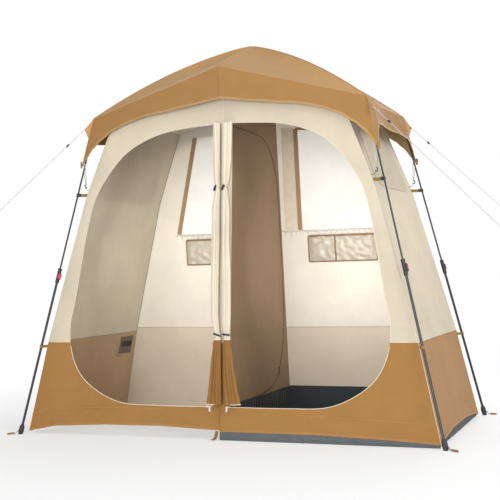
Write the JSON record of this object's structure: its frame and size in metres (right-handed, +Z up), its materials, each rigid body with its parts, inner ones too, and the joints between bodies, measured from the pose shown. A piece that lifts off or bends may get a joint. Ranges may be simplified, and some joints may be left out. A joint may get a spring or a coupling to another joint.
{
  "type": "shower tent",
  "caption": "Two-room shower tent with a folding hub frame, telescopic corner legs, D-shaped doorways, a fly with valance, an inner partition door and guy lines.",
  "frame": {"origin": "on the ground at the middle of the standing tent, under the hub, not counting the guy lines", "axes": "+X to the right as seen from the front, across both rooms; +Y from the doorways to the back wall; +Z up"},
  "size_m": [2.7004, 1.325, 2.0295],
  "materials": {
    "fly_cloth": "woven polyester, matt",
    "wall_cloth": "woven polyester, matt",
    "skirt_cloth": "woven polyester, matt",
    "partition_cloth": "woven polyester, matt",
    "mesh_cloth": "fine mesh",
    "floor_sheet": "coated sheet",
    "frame_metal": "dark grey powder coat",
    "arm_metal": "dark grey coated rod",
    "dark_plastic": "moulded, satin",
    "button_plastic": "crimson pink",
    "guy_cord": "braided cord"
  },
  "bodies": {
    "tent": {"hub": "dark_plastic", "hub_cap": "dark_plastic", "fly": "fly_cloth", "ceiling": "mesh_cloth", "front_upper_left": "wall_cloth", "front_upper_right": "wall_cloth", "front_skirt_left": "skirt_cloth", "front_skirt_right": "skirt_cloth", "back_upper": "wall_cloth", "back_skirt": "skirt_cloth", "side_upper_left": "wall_cloth", "side_upper_right": "wall_cloth", "side_skirt_left": "skirt_cloth", "side_skirt_right": "skirt_cloth", "partition": "partition_cloth", "door_bundle_left": "skirt_cloth", "door_bundle_right": "skirt_cloth", "pocket_left": "mesh_cloth", "pocket_right": "mesh_cloth", "floor_tray": "floor_sheet"},
    "arm_front_right": {"roof_arm_front_right": "arm_metal", "elbow_front_right": "dark_plastic"},
    "arm_front_left": {"roof_arm_front_left": "arm_metal", "elbow_front_left": "dark_plastic"},
    "arm_rear_left": {"roof_arm_rear_left": "arm_metal", "elbow_rear_left": "dark_plastic"},
    "arm_rear_right": {"roof_arm_rear_right": "arm_metal", "elbow_rear_right": "dark_plastic"},
    "eave_front": {"eave_arm_front": "arm_metal"},
    "eave_rear": {"eave_arm_rear": "arm_metal"},
    "leg_front_right": {"upper_rod_front_right": "frame_metal", "guy_line_front_right": "guy_cord", "guy_loop_front_right": "guy_cord"},
    "leg_front_left": {"upper_rod_front_left": "frame_metal", "guy_line_front_left": "guy_cord", "guy_loop_front_left": "guy_cord"},
    "leg_rear_left": {"upper_rod_rear_left": "frame_metal"},
    "leg_rear_right": {"upper_rod_rear_right": "frame_metal", "guy_line_rear_right": "guy_cord", "guy_loop_rear_right": "guy_cord"},
    "lower_leg_front_right": {"lower_tube_front_right": "frame_metal", "leg_collar_front_right": "dark_plastic", "foot_front_right": "dark_plastic"},
    "lower_leg_front_left": {"lower_tube_front_left": "frame_metal", "leg_collar_front_left": "dark_plastic", "foot_front_left": "dark_plastic"},
    "lower_leg_rear_left": {"lower_tube_rear_left": "frame_metal", "leg_collar_rear_left": "dark_plastic", "foot_rear_left": "dark_plastic"},
    "lower_leg_rear_right": {"lower_tube_rear_right": "frame_metal", "leg_collar_rear_right": "dark_plastic", "foot_rear_right": "dark_plastic"},
    "button_front_right": {"leg_button_front_right": "button_plastic"},
    "button_front_left": {"leg_button_front_left": "button_plastic"},
    "button_rear_left": {"leg_button_rear_left": "button_plastic"},
    "button_rear_right": {"leg_button_rear_right": "button_plastic"},
    "inner_door": {"partition_door": "partition_cloth"},
    "adjuster_front_left": {"guy_adjuster_front_left": "dark_plastic"},
    "adjuster_front_right": {"guy_adjuster_front_right": "dark_plastic"},
    "adjuster_rear_right": {"guy_adjuster_rear_right": "dark_plastic"}
  },
  "joints": [
    {"name": "frame_fold", "type": "hinge", "parent": "tent", "child": "arm_front_right", "pos_m": [0.04425, -0.02328, 1.975], "axis": [-0.4657, -0.885, 0], "range_deg": [0, 110.4], "deforming": ["fly", "ceiling", "front_upper_left", "front_upper_right", "front_skirt_left", "front_skirt_right", "back_upper", "back_skirt", "side_upper_left", "side_upper_right", "side_skirt_left", "side_skirt_right", "partition", "door_bundle_left", "door_bundle_right", "pocket_left", "pocket_right", "floor_tray"]},
    {"name": "arm_fold_front_left", "type": "hinge", "parent": "tent", "child": "arm_front_left", "pos_m": [-0.04425, -0.02328, 1.975], "axis": [-0.4657, 0.885, 0], "range_deg": [0, 110.4]},
    {"name": "arm_fold_rear_left", "type": "hinge", "parent": "tent", "child": "arm_rear_left", "pos_m": [-0.04425, 0.02328, 1.975], "axis": [0.4657, 0.885, 0], "range_deg": [0, 110.4]},
    {"name": "arm_fold_rear_right", "type": "hinge", "parent": "tent", "child": "arm_rear_right", "pos_m": [0.04425, 0.02328, 1.975], "axis": [0.4657, -0.885, 0], "range_deg": [0, 110.4]},
    {"name": "eave_fold_front", "type": "hinge", "parent": "tent", "child": "eave_front", "pos_m": [0, -0.05, 1.975], "axis": [-1, 0, 0], "range_deg": [0, 110.4]},
    {"name": "eave_fold_rear", "type": "hinge", "parent": "tent", "child": "eave_rear", "pos_m": [0, 0.05, 1.975], "axis": [1, 0, 0], "range_deg": [0, 110.4]},
    {"name": "leg_fold_front_right", "type": "hinge", "parent": "arm_front_right", "child": "leg_front_right", "pos_m": [0.72724, -0.38269, 1.615], "axis": [0.4657, 0.885, 0], "range_deg": [0, 125]},
    {"name": "leg_fold_front_left", "type": "hinge", "parent": "arm_front_left", "child": "leg_front_left", "pos_m": [-0.72724, -0.38269, 1.615], "axis": [0.4657, -0.885, 0], "range_deg": [0, 125]},
    {"name": "leg_fold_rear_left", "type": "hinge", "parent": "arm_rear_left", "child": "leg_rear_left", "pos_m": [-0.72724, 0.38269, 1.615], "axis": [-0.4657, -0.885, 0], "range_deg": [0, 125]},
    {"name": "leg_fold_rear_right", "type": "hinge", "parent": "arm_rear_right", "child": "leg_rear_right", "pos_m": [0.72724, 0.38269, 1.615], "axis": [-0.4657, 0.885, 0], "range_deg": [0, 125]},
    {"name": "leg_slide_front_right", "type": "slide", "parent": "leg_front_right", "child": "lower_leg_front_right", "axis": [-0.2216, 0.1166, 0.9681], "range_m": [0, 0.33]},
    {"name": "leg_slide_front_left", "type": "slide", "parent": "leg_front_left", "child": "lower_leg_front_left", "axis": [0.2216, 0.1166, 0.9681], "range_m": [0, 0.33]},
    {"name": "leg_slide_rear_left", "type": "slide", "parent": "leg_rear_left", "child": "lower_leg_rear_left", "axis": [0.2216, -0.1166, 0.9681], "range_m": [0, 0.33]},
    {"name": "leg_slide_rear_right", "type": "slide", "parent": "leg_rear_right", "child": "lower_leg_rear_right", "axis": [-0.2216, -0.1166, 0.9681], "range_m": [0, 0.33]},
    {"name": "button_press_front_right", "type": "slide", "parent": "lower_leg_front_right", "child": "button_front_right", "axis": [-0.9713, -0.1143, -0.2085], "range_m": [0, 0.003], "stiffness_N_per_m": 500, "springref_m": -0.002},
    {"name": "button_press_front_left", "type": "slide", "parent": "lower_leg_front_left", "child": "button_front_left", "axis": [-0.7484, 0.6568, 0.0922], "range_m": [0, 0.003], "stiffness_N_per_m": 500, "springref_m": -0.002},
    {"name": "button_press_rear_left", "type": "slide", "parent": "lower_leg_rear_left", "child": "button_rear_left", "axis": [0.7341, -0.6335, -0.2443], "range_m": [0, 0.003], "stiffness_N_per_m": 500, "springref_m": -0.002},
    {"name": "button_press_rear_right", "type": "slide", "parent": "lower_leg_rear_right", "child": "button_rear_right", "axis": [-0.1414, -0.9785, -0.1502], "range_m": [0, 0.003], "stiffness_N_per_m": 500, "springref_m": -0.002},
    {"name": "inner_door_swing", "type": "hinge", "parent": "tent", "child": "inner_door", "pos_m": [0.00075, -0.3297, 0.8575], "axis": [0, 0, -1], "range_deg": [0, 90]},
    {"name": "adjuster_slide_front_left", "type": "slide", "parent": "leg_front_left", "child": "adjuster_front_left", "axis": [-0.6831, -0.2724, -0.6776], "range_m": [-0.09, 0.38]},
    {"name": "adjuster_slide_front_right", "type": "slide", "parent": "leg_front_right", "child": "adjuster_front_right", "axis": [0.6831, -0.2724, -0.6776], "range_m": [-0.09, 0.38]},
    {"name": "adjuster_slide_rear_right", "type": "slide", "parent": "leg_rear_right", "child": "adjuster_rear_right", "axis": [0.6831, 0.2724, -0.6776], "range_m": [-0.09, 0.38]}
  ],
  "couplings": [
    {"joint": "arm_fold_front_left", "follows": "frame_fold", "ratio": 1},
    {"joint": "arm_fold_rear_left", "follows": "frame_fold", "ratio": 1},
    {"joint": "arm_fold_rear_right", "follows": "frame_fold", "ratio": 1},
    {"joint": "eave_fold_front", "follows": "frame_fold", "ratio": 1},
    {"joint": "eave_fold_rear", "follows": "frame_fold", "ratio": 1},
    {"joint": "leg_fold_front_right", "follows": "frame_fold", "ratio": 1.1313},
    {"joint": "leg_fold_front_left", "follows": "frame_fold", "ratio": 1.1313},
    {"joint": "leg_fold_rear_left", "follows": "frame_fold", "ratio": 1.1313},
    {"joint": "leg_fold_rear_right", "follows": "frame_fold", "ratio": 1.1313}
  ]
}
